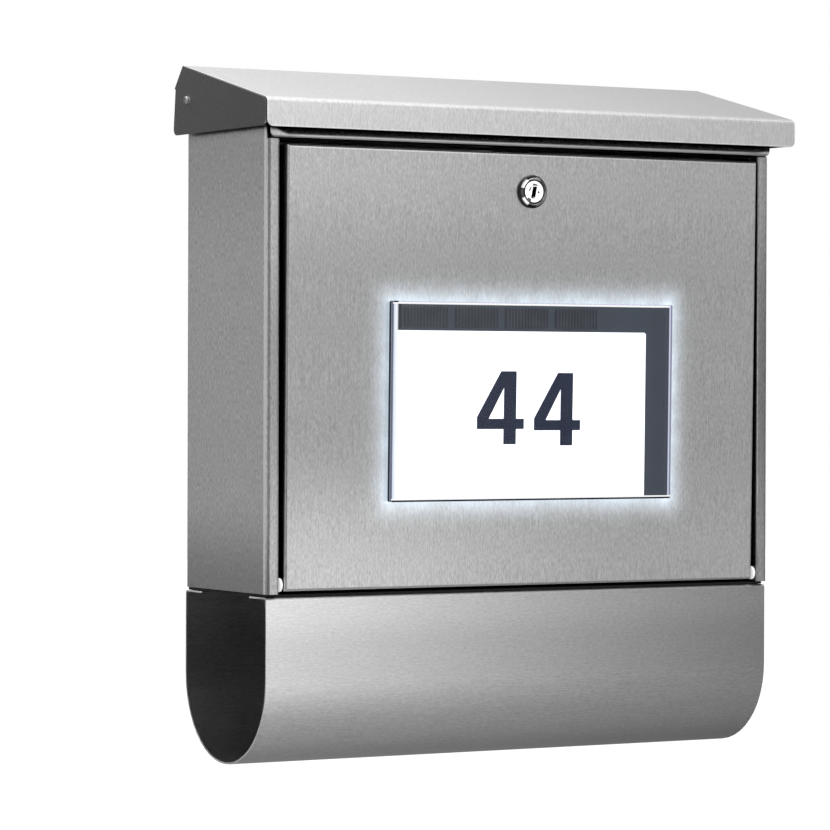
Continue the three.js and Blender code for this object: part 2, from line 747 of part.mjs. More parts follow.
// Shallow tray behind the window, with ears for the studs and a box for the batteries and the control board.
function lampHousing() {
  const rim = 2.8;
  const floor = 8.7;
  const wall = 2.5;
  const plate = 2;
  const b = BATTERY_BOX;
  const tray = cut(
    slab(LAMP.width, LAMP.height, 0, 0, rim, floor + plate, 4),
    slab(LAMP.width - 2 * wall, LAMP.height - 2 * wall, 0, 0, rim - 1, floor, 2),
  );
  const ears = [-1, 1].flatMap((sx) =>
    [-1, 1].map((sz) => slab(16, 18, sx * (STUD.x - 1.5), sz * STUD.z, rim, rim + wall, 3)),
  );
  const batteryBox = cut(
    slab(b.width, b.height, 0, b.z, floor + 1, floor + plate + b.depth),
    slab(b.width - 4, b.height - 4, 0, b.z, floor + plate, floor + plate + b.depth + 1),
  );
  const studHoles = [-1, 1].flatMap((sx) =>
    [-1, 1].map((sz) => cylinder(HOLE, rim - 1, rim + wall + 1, "y").translate(sx * STUD.x, 0, sz * STUD.z)),
  );
  const hollow = slab(LAMP.width - 2 * wall, LAMP.height - 2 * wall, 0, 0, rim - 1, floor, 2);
  const wires = cylinder(3, floor - 1, floor + plate + 1, "y", 16).translate(30, 0, b.z);
  return cut(joined(tray, ...ears, batteryBox), hollow, wires, ...studHoles);
}

put(lamp, "lamp_housing", lampHousing(), HOUSING);

for (const [i, [sx, sz]] of [[-1, 1], [1, 1], [-1, -1], [1, -1]].entries()) {
  const place = [sx * STUD.x, 5.6, sz * STUD.z];
  put(lamp, `lamp_nut_${i + 1}`, hexNut(7, HOLE, 2.6), ZINC, place, [-Math.PI / 2, 0, 0]);
}

// Board with rows of light-emitting diodes behind the diffuser.
function ledBoard() {
  const rows = [-36, 0, 36];
  const columns = [-75, -45, -15, 15, 45, 75];
  const board = slab(188, 100, 0, 0, 6.8, 8.4);
  const diodes = rows.flatMap((z) => columns.map((x) => slab(3.6, 3.6, x, z, 5.4, 7)));
  return joined(board, ...diodes);
}

put(lamp, "led_board", ledBoard(), BOARD);

const electronics = groupAt(lamp, 0, 10.7, BATTERY_BOX.z);

for (const [i, z] of [8.6, -8.6].entries()) {
  const cell = turned([[0, 0], [7.1, 0], [7.1, 48.5], [2.7, 48.5], [2.7, 50], [0, 50]], "x", 24);
  put(electronics, `battery_${i + 1}`, cell, BATTERY, [-52.5, 7.1 + GAP, z]);
}

function controlBoard() {
  return joined(
    slab(50, 37, 27.5, 0, 3, 4.6),
    slab(10, 10, 20, 6, 4.5, 6.6),
    slab(14, 6, 36, -8, 4.5, 9),
    slab(5, 5, 44, 10, 4.5, 7),
    cylinder(3, 4.5, 11, "y", 16).translate(12, 0, -10),
  );
}

put(electronics, "control_board", controlBoard(), BOARD);

put(
  electronics,
  "battery_cover",
  slab(BATTERY_BOX.width, BATTERY_BOX.height, 0, 0, BATTERY_BOX.depth + GAP, BATTERY_BOX.depth + 2.3, 2),
  HOUSING,
);

// Sliding switch on the underside of the battery box.
const switchZ = -BATTERY_BOX.height / 2 - GAP;
function powerSwitch() {
  const base = box([-5, 5], [-2.5, 2.5], [-1.2, 0]);
  const grips = [-1.6, 0, 1.6].map((x) => box([x - 0.4, x + 0.4], [-2, 2], [-3.6, -2.6]));
  return joined(base, box([-2.5, 2.5], [-2, 2], [-3, -1]), ...grips);
}

put(electronics, "power_switch", powerSwitch(), RUBBER, [32, 8, switchZ]);

// ---------------------------------------------------------------- lock

// The lock is drawn about its own axis, with y = 0 on the door's front face.
const lock = groupAt(door, LOCK.x, face, lockZ);
const bore = LOCK.core + GAP;
const barrelEnd = 18.9;

put(
  lock,
  "lock_housing",
  turned(
    [[bore, -2.9], [8.1, -3.8], [9, -3.5], [9.5, -2.7], [9.7, -1.9], [10.4, -1.6], [LOCK.collar, -1.1],
      [LOCK.collar, -GAP], [LOCK.barrel, -GAP], [LOCK.barrel, barrelEnd], [bore, barrelEnd], [bore, -2.9]],
    "y",
    48,
  ),
  CHROME,
);
put(lock, "lock_nut", hexNut(24, LOCK.barrel + 0.5, 3.5), ZINC, [0, SHEET + GAP + 3.5, 0], [Math.PI / 2, 0, 0]);

// The core with its keyway, and a square tail for the cam.
function lockCore() {
  const tail = 6;
  return cut(
    joined(
      turned([[0, -3.2], [6.8, -3.2], [LOCK.core, -2.8], [LOCK.core, barrelEnd + GAP], [0, barrelEnd + GAP]], "y", 40),
      box([-tail / 2, tail / 2], [barrelEnd, 21.5], [-tail / 2, tail / 2]),
    ),
    box([-0.9, 0.9], [-4, 4], [-4.6, 4.6]),
    cylinder(1.8, 10, 22, "y", 16),
  );
}

put(lock, "lock_core", lockCore(), CHROME);

function lockCam() {
  const from = barrelEnd + 2 * GAP;
  const half = 7;
  const plate = outline([
    [-half, -half, half],
    [LOCK.reach, -half, 3],
    [LOCK.reach, half, 3],
    [-half, half, half],
  ]);
  return cut(swept(plate, from, from + 1.8, ALONG_Y), box([-3.3, 3.3], [from - 1, from + 3], [-3.3, 3.3]));
}

put(lock, "lock_cam", lockCam(), ZINC);
put(
  lock,
  "cam_screw",
  turned([[0, 12], [1.5, 12], [1.5, 21.8], [4.5, 21.8], [4.5, 23.3], [3.4, 24.2], [0, 24.2]], "y", 20),
  ZINC,
);

export default mailbox;
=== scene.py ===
"""Looks of a wall mailbox of brushed stainless steel: its materials, light and camera.

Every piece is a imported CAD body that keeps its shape. Lengths are in metres in the model's own
frame: +X is right, the front faces -Y, +Z is up, and y = 0 is the wall.
"""

import json
import math

import bpy
from mathutils import Matrix, Vector

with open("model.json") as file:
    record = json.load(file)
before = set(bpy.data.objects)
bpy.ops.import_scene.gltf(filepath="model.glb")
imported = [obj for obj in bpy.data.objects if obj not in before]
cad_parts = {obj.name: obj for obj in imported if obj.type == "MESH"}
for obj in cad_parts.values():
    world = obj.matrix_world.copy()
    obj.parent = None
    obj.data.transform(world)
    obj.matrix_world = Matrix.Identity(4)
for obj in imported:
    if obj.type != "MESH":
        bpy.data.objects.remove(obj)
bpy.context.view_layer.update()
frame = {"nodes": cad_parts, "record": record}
nodes = frame["nodes"]
MM = 0.001

# ---------------------------------------------------------------- camera

# Angles are in degrees, and the sensor and the lens are in millimetres.
CAMERA = {
    "azimuth": -30.171,
    "elevation": 0.461,
    "roll": 0.184,
    "distance": 2.5328,
    "aim_right": -0.0154,
    "aim_up": -0.0225,
    "sensor": 36.0,
    "lens": 167.75,
}


def place_camera():
    """The camera stands to the left of the front, at mid height, with a long lens."""
    azimuth = math.radians(CAMERA["azimuth"])
    elevation = math.radians(CAMERA["elevation"])
    roll = math.radians(CAMERA["roll"])
    back = Vector(
        (
            math.sin(azimuth) * math.cos(elevation),
            -math.cos(azimuth) * math.cos(elevation),
            math.sin(elevation),
        )
    )
    right = (-back).cross(Vector((0, 0, 1))).normalized()
    up = right.cross(-back)
    location = right * CAMERA["aim_right"] + up * CAMERA["aim_up"] + back * CAMERA["distance"]
    turn = Matrix.Rotation(roll, 3, "Z")
    basis = Matrix((right, up, back)).transposed() @ turn
    data = bpy.data.cameras.new("camera")
    data.sensor_width = CAMERA["sensor"]
    data.lens = CAMERA["lens"]
    data.clip_start = 50 * MM
    camera = bpy.data.objects.new("camera", data)
    camera.matrix_world = Matrix.Translation(location) @ basis.to_4x4()
    bpy.context.scene.collection.objects.link(camera)
    bpy.context.scene.camera = camera


# ---------------------------------------------------------------- sizes and places

# Heights on the door are measured from its hinge line.
DOOR = {
    "hinge": (0, -105.5 * MM, -124.8 * MM),
    "lean": math.radians(0.9),
    "top": 268.2 * MM,
    "half_width": 173 * MM,
    "middle": 132.1 * MM,
    "half_height": 136 * MM,
}
WINDOW = {"x": 1.6 * MM, "z": 111.95 * MM, "half": (103.4 * MM, 62.1 * MM), "face": -9.2 * MM}
LOCK = {"x": 0.5 * MM, "z": 243.9 * MM, "collar": 10.25 * MM, "plug": 7.1 * MM}
LID = {
    "front": -126.2 * MM,
    "top": 170.2 * MM,
    "bottom": 152.8 * MM,
    "half": 194.5 * MM,
    "rise": 0.2374,
}
SIDE = {"x": 185 * MM, "front": -110 * MM}
RAIL = {"end": 184 * MM, "shadow": 148.9 * MM}  # the lid's shadow ends at this height
HOLDER = {"end": 185 * MM, "top": -140 * MM, "bottom": -232 * MM}

BRUSH = 1400.0  # brush strokes across the grain, per metre
SHORT = 330.0  # short strokes along the grain, per metre
LONG = 55.0  # long strokes along the grain, per metre
SHORT_SHARE = 0.72  # part that the short strokes have in the pattern
SHEET_EDGE = 0.35 * MM  # softness of a cut sheet edge
GAP_REACH = 25 * MM  # how near another surface is when it darkens a gap
CLEAR_OF_MIDDLE = 100 * MM  # a point this far out is plainly on the left or on the right

# ---------------------------------------------------------------- node helpers


class Shader:
    """A node tree that is built by calls: each add() makes a node and returns it."""

    def __init__(self, tree):
        self.tree = tree
        self.tree.nodes.clear()

    @classmethod
    def surface(cls, name):
        material = bpy.data.materials.new(name)
        material.use_nodes = True
        made = cls(material.node_tree)
        made.material = material
        return made

    def add(self, kind, inputs=(), **settings):
        made = self.tree.nodes.new(kind)
        for key, value in settings.items():
            setattr(made, key, value)
        for key, value in dict(inputs).items():
            if isinstance(value, bpy.types.Node):
                value = value.outputs[0]
            if isinstance(value, bpy.types.NodeSocket):
                self.tree.links.new(value, made.inputs[key])
            else:
                made.inputs[key].default_value = value
        return made

    def math(self, operation, a, b=0.0):
        return self.add("ShaderNodeMath", {0: a, 1: b}, operation=operation)

    def product(self, first, *others):
        value = first
        for other in others:
            value = self.math("MULTIPLY", value, other)
        return value

    def total(self, first, *others):
        value = first
        for other in others:
            value = self.math("ADD", value, other)
        return value

    def vector(self, operation, a, b=(0, 0, 0)):
        return self.add("ShaderNodeVectorMath", {0: a, 1: b}, operation=operation)

    def scaled(self, vector, factor):
        return self.add("ShaderNodeVectorMath", {0: vector, "Scale": factor}, operation="SCALE")

    def parts(self, vector):
        return self.add("ShaderNodeSeparateXYZ", {0: vector}).outputs

    def ramp(self, value, low, high, to_low=0.0, to_high=1.0, smooth=True):
        ends = {"From Min": low, "From Max": high, "To Min": to_low, "To Max": to_high}
        way = "SMOOTHSTEP" if smooth else "LINEAR"
        return self.add("ShaderNodeMapRange", {"Value": value, **ends}, interpolation_type=way)

    def by_side(self, x, left, right):
        """One value on the left of the box and another on its right."""
        return self.ramp(x, -CLEAR_OF_MIDDLE, CLEAR_OF_MIDDLE, left, right)

    def within(self, value, low, high, soft):
        """1 between low and high, 0 outside, with soft edges of the given half width."""
        rise = self.ramp(value, low - soft, low + soft)
        fall = self.ramp(value, high - soft, high + soft, 1.0, 0.0)
        return self.product(rise, fall)

    def paint(self, under, over, mask):
        """One colour over another where the mask is 1."""
        colors = {"Factor": mask, 6: under, 7: over}
        return self.add("ShaderNodeMix", colors, data_type="RGBA").outputs[2]

    def choose(self, mask, off, on):
        """One vector where the mask is 0 and another where it is 1."""
        vectors = {"Factor": mask, 4: off, 5: on}
        return self.add("ShaderNodeMix", vectors, data_type="VECTOR").outputs[1]

    def noise(self, vector, scale, detail=2.0, roughness=0.5):
        return self.add(
            "ShaderNodeTexNoise",
            {"Vector": vector, "Scale": scale, "Detail": detail, "Roughness": roughness},
        ).outputs[0]

    def place(self):
        """The point in the piece's own frame, in metres."""
        return self.add("ShaderNodeTexCoord").outputs["Object"]

    def facing(self):
        """The surface's direction in the piece's own frame."""
        return self.add("ShaderNodeTexCoord").outputs["Normal"]

    def on_door(self, x=0.0, z=0.0):
        """The point in the leaning door's frame, from a place x and z above its hinge line."""
        point = self.add(
            "ShaderNodeMapping",
            {"Vector": self.place(), "Location": DOOR["hinge"], "Rotation": (DOOR["lean"], 0, 0)},
            vector_type="TEXTURE",
        )
        return self.parts(self.vector("SUBTRACT", point, (x, 0, z)))

    def free(self, low, high):
        """0 where the surface is deep in a gap, and 1 where it stands free."""
        near = self.add("ShaderNodeAmbientOcclusion", {"Distance": GAP_REACH}, samples=4)
        return self.ramp(near.outputs["AO"], low, high)

    def world_direction(self, direction):
        """A direction in the piece's own frame, turned into the world's."""
        return self.add(
            "ShaderNodeVectorTransform",
            {0: direction},
            vector_type="VECTOR",
            convert_from="OBJECT",
            convert_to="WORLD",
        )

    def finish(self, shader):
        """Puts the shader on the surface and returns the material."""
        output = self.add("ShaderNodeOutputMaterial")
        self.tree.links.new(shader.outputs[0], output.inputs["Surface"])
        return self.material


# ---------------------------------------------------------------- brushed steel


def brush_lines(s, grain, along):
    """Noise drawn out along the grain: "x", "z", or "fold", front to back over the lid."""
    if grain == "fold":
        roof = s.vector("MULTIPLY", s.place(), (BRUSH, along, along))
        skirt = s.vector("MULTIPLY", s.place(), (0, along, BRUSH))
        lines = s.choose(on_skirt(s), roof, skirt)
    else:
        stretch = {"x": (along, BRUSH, BRUSH), "z": (BRUSH, BRUSH, along)}[grain]
        lines = s.vector("MULTIPLY", s.place(), stretch)
    return s.noise(lines, 1.0, 3.0, 0.7)


def on_skirt(s):
    """1 on the skirts at the lid's ends, which face sideways."""
    return s.math("GREATER_THAN", s.math("ABSOLUTE", s.parts(s.facing())[0]), 0.7)


def brushed_steel(
    name, grain, color=0.6, roughness=0.33, streak=0.32, dark=(0.2, 0.6), shade=None, glow=None
):
    """Brushed sheet with painted shade that turns it dark in its gaps and corners.

    streak is how much the strokes vary the tone, and dark holds the openness at which the painted
    shade makes the sheet black and the one at which it has its full tone. shade adds painted light
    and shade by place, and glow adds painted light.
    """
    s = Shader.surface(name)
    normal = s.add("ShaderNodeBevel", {"Radius": SHEET_EDGE}, samples=4)
    if grain == "fold":
        tangent = s.world_direction(s.choose(on_skirt(s), (1, 0, 0), (0, 0, 1)))
    else:
        along = {"x": (1, 0, 0), "z": (0, 0, 1)}[grain]
        tangent = s.vector("CROSS_PRODUCT", normal, s.world_direction(along))
    strokes = s.total(
        s.product(brush_lines(s, grain, SHORT), SHORT_SHARE),
        s.product(brush_lines(s, grain, LONG), 1 - SHORT_SHARE),
    )
    cloud = s.noise(s.place(), 9.0, 3.0, 0.55)
    tone = s.product(
        s.ramp(strokes, 0.32, 0.68, color * (1 - streak), color * (1 + streak), smooth=False),
        s.ramp(cloud, 0.3, 0.7, 0.98, 1.02, smooth=False),
    )
    if shade:
        tone = s.product(tone, shade(s))
    # Painted shade: the sheet turns dark where it lies deep in a gap or a corner.
    tone = s.product(tone, s.free(*dark))
    green = s.product(tone, 1.003)
    relief = {"Height": strokes, "Strength": 0.12, "Distance": 0.1 * MM, "Normal": normal}
    rough = s.ramp(strokes, 0.25, 0.75, roughness - 0.03, roughness + 0.03, smooth=False)
    shader = s.add(
        "ShaderNodeBsdfPrincipled",
        {
            "Base Color": s.add("ShaderNodeCombineColor", {0: tone, 1: green, 2: tone}),
            "Metallic": 1.0,
            "Roughness": rough,
            "Anisotropic": 0.93,
            "Tangent": tangent,
            "Normal": s.add("ShaderNodeBump", relief),
        },
    )
    if glow:
        s.tree.links.new(glow(s).outputs[0], shader.inputs["Emission Color"])
        shader.inputs["Emission Strength"].default_value = 1.0
    return s.finish(shader)


def window_distance(s):
    """How far a point of the door lies outside the window's outline."""
    u, _, w = s.on_door(WINDOW["x"], WINDOW["z"])
    half_u, half_w = WINDOW["half"]
    beside = s.math("MAXIMUM", s.math("SUBTRACT", s.math("ABSOLUTE", u), half_u), 0.0)
    above = s.math("MAXIMUM", s.math("SUBTRACT", s.math("ABSOLUTE", w), half_w), 0.0)
    return s.math("SQRT", s.total(s.product(beside, beside), s.product(above, above)))


def window_light(s):
    """The cool light that the lit window throws on the steel around it, strongest on the right."""
    near_reach = 2.5 * MM
    wide_reach = 9.5 * MM
    away = window_distance(s)
    near = s.math("POWER", math.e, s.product(away, -1 / near_reach))
    wide = s.math("POWER", math.e, s.product(s.product(away, away), -1 / wide_reach**2))
    fade = s.total(s.product(near, 0.5), s.product(wide, 0.62))
    patchy = s.ramp(s.noise(s.place(), 70.0, 2.0), 0.3, 0.7, 0.85, 1.15)
    beside = s.ramp(s.on_door(WINDOW["x"])[0], 95 * MM, 104 * MM, 1.0, 1.45)
    return s.scaled((0.44, 0.52, 0.60), s.product(fade, patchy, beside))


def lid_shade(s):
    """Painted light and shade: the fascia is lighter than the roof and the skirts, and painted
    highlights shine on the folds and the hem. The roof and the fascia darken towards the right.
    """
    x, y, z = s.parts(s.place())
    normal = s.parts(s.facing())
    roof = s.ramp(normal[2], 0.6, 0.8)
    fascia = s.ramp(s.product(normal[1], -1.0), 0.6, 0.8)
    skirt = s.ramp(s.math("ABSOLUTE", normal[0]), 0.6, 0.8)
    slope = s.total(LID["top"], s.product(s.math("SUBTRACT", y, LID["front"]), LID["rise"]))
    beside = s.math("SUBTRACT", LID["half"], s.math("ABSOLUTE", x))
    near_front = s.ramp(y, LID["front"] + 7.2 * MM, LID["front"] + 3.2 * MM)
    near_top = s.within(z, LID["top"] - 2.2 * MM, LID["top"] + MM, 0.6 * MM)
    top_fold = s.product(near_front, near_top)
    above_hem = s.math("SUBTRACT", z, LID["bottom"])
    hem = s.product(fascia, s.ramp(above_hem, 0.4 * MM, 1.3 * MM, 1.0, 0.0))
    end_fold = s.product(fascia, s.within(beside, -MM, 0.5 * MM, 0.2 * MM))
    roof_fold = s.product(roof, s.within(beside, -MM, 0.9 * MM, 0.3 * MM))
    below_slope = s.math("SUBTRACT", slope, z)
    skirt_fold = s.product(skirt, s.ramp(below_slope, 0.3 * MM, 1.1 * MM, 1.0, 0.0))
    faces = s.total(
        s.product(roof, s.ramp(x, -LID["half"], LID["half"], 0.95, 0.48, smooth=False)),
        s.product(fascia, s.ramp(x, -LID["half"], LID["half"], 1.24, 0.95, smooth=False)),
        s.product(skirt, s.ramp(y, LID["front"], -10 * MM, 0.62, 0.72, smooth=False)),
    )
    return s.total(
        s.math("MAXIMUM", faces, 0.5),
        s.product(top_fold, 0.12),
        s.product(hem, 0.3),
        s.product(end_fold, 0.5),
        s.product(roof_fold, 0.5),
        s.product(skirt_fold, 6.0),
    )


def side_shade(s):
    """Painted light and shade on a side panel and its front flange.

    The bend has a painted highlight on the side and a painted dark reflection on the corner. The
    flange is painted darker than the side, most of all on the right, and painted shade dims what
    lies inside the casing. The side darkens towards its bottom and its top, and the flange in its
    middle.
    """
    x, y, z = s.parts(s.place())
    outward = s.ramp(s.math("ABSOLUTE", x), SIDE["x"] - 0.6 * MM, SIDE["x"] - 0.3 * MM)
    behind = s.math("SUBTRACT", y, SIDE["front"])
    bright = s.product(outward, s.within(behind, 2.8 * MM, 5.2 * MM, 0.9 * MM))
    corner = s.within(s.math("ABSOLUTE", x), SIDE["x"] - 1.4 * MM, SIDE["x"] + MM, 0.4 * MM)
    dim = s.product(corner, s.within(behind, -MM, 1.6 * MM, 0.7 * MM), s.by_side(x, 0.5, 0.9))
    inside = s.product(s.ramp(behind, 0.8 * MM, 1.0 * MM), s.math("SUBTRACT", 1.0, outward))
    bottom = s.ramp(z, -132 * MM, -70 * MM, 0.62, 1.08)
    top = s.ramp(z, 60 * MM, 150 * MM, 1.0, 0.85)
    flange = s.ramp(s.parts(s.facing())[1], -0.8, -0.95)
    middle = s.product(flange, s.within(z, -55 * MM, 65 * MM, 45 * MM))
    low = s.product(flange, s.ramp(z, -70 * MM, -130 * MM, 0.0, 0.5))
    right = s.product(flange, s.by_side(x, 0.0, 1.0), s.ramp(z, 60 * MM, 145 * MM, 0.44, 0.22))
    face = s.product(
        s.total(s.product(bottom, top), s.product(middle, -0.3), low),
        s.total(1.0, s.product(flange, -0.16)),
        s.math("SUBTRACT", 1.0, right),
    )
    lines = s.total(1.0, s.product(bright, 1.7), s.product(dim, -1.0))
    return s.product(face, lines, s.ramp(inside, 0.0, 1.0, 1.0, 0.7))


def door_shade(s):
    """Painted light and shade: the door is lighter towards its lower left and its top, with
    painted highlights along its top and bottom edges and painted shade on its edges in the gap.
    """
    u, _, w = s.on_door()
    left = s.ramp(u, -175 * MM, 100 * MM, 1.0, 0.0)
    top = s.ramp(w, 190 * MM, 262 * MM)
    low = s.ramp(w, 95 * MM, 5 * MM)
    top_edge = s.ramp(w, DOOR["top"] - 2.4 * MM, DOOR["top"] - MM)
    low_edge = s.ramp(w, -1.6 * MM, -3.0 * MM)
    half_width = DOOR["half_width"]
    half_height = DOOR["half_height"]
    from_middle = s.math("ABSOLUTE", s.math("SUBTRACT", w, DOOR["middle"]))
    sides = s.ramp(s.math("ABSOLUTE", u), half_width - 0.4 * MM, half_width)
    ends = s.ramp(from_middle, half_height - 0.3 * MM, half_height)
    off_front = s.ramp(s.parts(s.facing())[1], -0.7, -0.3)
    folded = s.product(s.math("MAXIMUM", sides, ends), off_front)
    in_gap = s.product(folded, s.math("SUBTRACT", 1.0, s.free(0.5, 0.85)))
    face = s.total(
        0.70,
        s.product(left, 0.04),
        s.product(top, s.total(0.09, s.product(left, 0.12))),
        s.product(low, s.total(0.09, s.product(left, 0.37))),
        s.product(s.total(top_edge, low_edge), 0.4),
    )
    return s.product(face, s.math("SUBTRACT", 1.0, s.product(in_gap, 0.95)))


def rail_shade(s):
    """A shut lid casts a painted shadow on the rail down to a lit strip along its lower edge,
    which rises at the ends.

    Under an open lid the whole face is lit. The rail's underside is painted dark, as shade, either
    way.
    """
    x, _, z = s.parts(s.place())
    aside = s.math("ABSOLUTE", x)
    end_lift = s.product(
        s.ramp(aside, RAIL["end"] - 13 * MM, RAIL["end"]),
        s.by_side(x, 3.8 * MM, 1.0 * MM),
    )
    in_shadow = s.math("SUBTRACT", z, s.total(RAIL["shadow"], end_lift))
    strip = s.ramp(aside, RAIL["end"] - 24 * MM, RAIL["end"] - 6 * MM, 1.7, 1.0)
    lit = s.ramp(in_shadow, -0.8 * MM, 1.0 * MM, strip, 0.0)
    open_lid = s.product(s.free(0.86, 0.98), 0.85)
    underside = s.ramp(s.parts(s.facing())[2], -0.95, -0.75, 0.02, 1.0)
    return s.product(s.math("MAXIMUM", lit, open_lid), underside)


def holder_shade(s):
    """Painted light and shade: lighter on the left and at the top, darker along the bottom, and
    painted light again where the curve turns under.
    """
    x, _, z = s.parts(s.place())
    top = HOLDER["top"]
    bottom = HOLDER["bottom"]
    face = s.product(
        s.ramp(x, -HOLDER["end"], HOLDER["end"], 1.27, 0.75, smooth=False),
        s.ramp(z, top - 25 * MM, top, 0.89, 1.04),
        s.ramp(z, bottom, bottom + 10 * MM, 0.92, 1.0),
    )
    curve = s.within(z, bottom + 7 * MM, bottom + 40 * MM, 12 * MM)
    return s.total(face, s.product(curve, 0.24))


# ---------------------------------------------------------------- other materials


def plain(name, color, roughness, metallic, emission):
    """Moulded plastic, rubber or plated metal, with a fine texture."""
    unevenness = 0.02
    s = Shader.surface(name)
    speck = s.noise(s.place(), 900.0, 3.0)
    cloud = s.noise(s.place(), 40.0, 2.0)
    vary = s.total(
        s.ramp(speck, 0.3, 0.7, -unevenness, unevenness),
        s.ramp(cloud, 0.3, 0.7, 1 - unevenness, 1 + unevenness),
    )
    relief = {"Height": speck, "Strength": 0.15, "Distance": 0.1 * MM}
    shader = s.add(
        "ShaderNodeBsdfPrincipled",
        {
            "Base Color": s.scaled(color, vary),
            "Metallic": metallic,
            "Roughness": s.ramp(speck, 0.3, 0.7, roughness - 0.04, roughness + 0.04),
            "Normal": s.add("ShaderNodeBump", relief),
            "Emission Color": (*color, 1),
            "Emission Strength": emission,
        },
    )
    return s.finish(shader)


def clear_acrylic():
    """A clear tray lit from behind: fine lines of painted light and shade along its rim, the rest
    see-through.

    The lines are drawn in order, each over the ones before it.
    """
    s = Shader.surface("clear_acrylic")
    u, d, w = s.on_door(WINDOW["x"], WINDOW["z"])
    half_u, half_w = WINDOW["half"]
    left = s.math("ADD", u, half_u)
    right = s.math("SUBTRACT", half_u, u)
    below = s.math("ADD", w, half_w)
    above = s.math("SUBTRACT", half_w, w)
    deep = s.math("SUBTRACT", d, WINDOW["face"])
    side = s.parts(s.facing())
    on_left = s.math("LESS_THAN", side[0], -0.6)
    on_face = s.math("LESS_THAN", side[1], -0.6)
    along_top = s.noise(s.vector("MULTIPLY", s.place(), (1, 0, 0)), 420.0, 1.0)
    along_right = s.noise(s.vector("MULTIPLY", s.place(), (0, 0, 1)), 300.0, 1.0)
    beads = s.ramp(s.ramp(along_top, 0.42, 0.58), 0, 1, 0.3, 1.0)
    spots = s.ramp(s.ramp(along_right, 0.36, 0.5), 0, 1, 0.55, 1.0)
    # The pale, bluish, white, lavender and grey lines are painted glow of the lit rim, and the
    # slate and dark ones painted shade. The mask and cell colours are those parts' own.
    white = (1, 1, 1, 1)
    pale = (0.90, 0.94, 1, 1)
    bluish_glow = (0.70, 0.78, 0.90, 1)
    lavender = (0.66, 0.68, 0.84, 1)
    slate = (0.10, 0.11, 0.17, 1)
    grey = (0.24, 0.27, 0.36, 1)
    dark = (0.012, 0.018, 0.028, 1)
    mask_color = (0.067, 0.078, 0.100, 1)
    cell_color = (0.042, 0.048, 0.056, 1)

    def band(distance, low, high, soft=0.2):
        """A line along an edge, from low to high millimetres inside it."""
        return s.within(distance, low * MM, high * MM, soft * MM)

    bluish_glow_band = s.product(band(left, -1, 1.2, 0.6), s.ramp(above, 0, 90 * MM, 0.8, 0.2))
    cell_band = s.product(band(above, 1.9, 17.5), band(left, 4.0, 6.0))
    mask_band = s.product(band(above, 1.9, 122), band(right, 2.2, 5))
    top_corner = s.product(band(above, -1, 0.8), band(left, 0.3, 3.6))
    layers = (
        (pale, on_face, band(left, -1, 3.4, 0.9)),
        (bluish_glow, on_face, bluish_glow_band),
        (slate, on_face, band(left, -1, 0.4, 0.15)),
        (cell_color, on_face, cell_band),
        (mask_color, on_face, mask_band),
        (white, on_face, band(above, 0.6, 1.7)),
        (lavender, on_face, s.product(band(above, -1, 0.6), beads)),
        (lavender, on_face, band(right, 1.2, 2.2)),
        (grey, on_face, s.product(band(right, -1, 1.2), spots)),
        (white, on_face, band(below, 1.0, 1.9)),
        (dark, on_face, band(below, -1, 0.95)),
        (dark, on_face, top_corner),
        (lavender, on_left, band(deep, -1, 6)),
        (slate, on_left, band(deep, 0.3, 1.5)),
        (dark, on_left, band(deep, 2.1, 7)),
    )
    color = white
    cover = 0.0
    for tint, where, line in layers:
        mask = s.product(where, line)
        color = s.paint(color, tint, s.math("GREATER_THAN", mask, 0.02))
        cover = s.math("MAXIMUM", cover, mask)
    lit = s.add("ShaderNodeEmission", {"Color": color})
    clear = s.add("ShaderNodeBsdfTransparent", {"Color": (0.985, 0.99, 1, 1)})
    gloss = s.add("ShaderNodeBsdfGlossy", {"Color": (1, 1, 1, 1), "Roughness": 0.04})
    fresnel = s.product(s.add("ShaderNodeFresnel", {"IOR": 1.3}), 0.5)
    inner = s.add("ShaderNodeMixShader", {0: cover, 1: clear, 2: lit})
    return s.finish(s.add("ShaderNodeMixShader", {0: fresnel, 1: inner, 2: gloss}))


def solar_cells():
    """Dark cells crossed by fine conducting fingers."""
    finger_pitch = 2.3 * MM
    s = Shader.surface("solar_cell")
    x = s.parts(s.place())[0]
    fingers = s.ramp(s.math("SINE", s.product(x, 2 * math.pi / finger_pitch)), -0.6, 1.0)
    cloud = s.ramp(s.noise(s.place(), 90.0, 2.0), 0.3, 0.7, 0.85, 1.15)
    color = s.paint((0.040, 0.046, 0.060, 1), (0.078, 0.088, 0.112, 1), fingers)
    return s.finish(
        s.add(
            "ShaderNodeBsdfPrincipled",
            {
                "Base Color": s.scaled(color, cloud),
                "Roughness": s.ramp(fingers, 0, 1, 0.55, 0.65),
            },
        )
    )


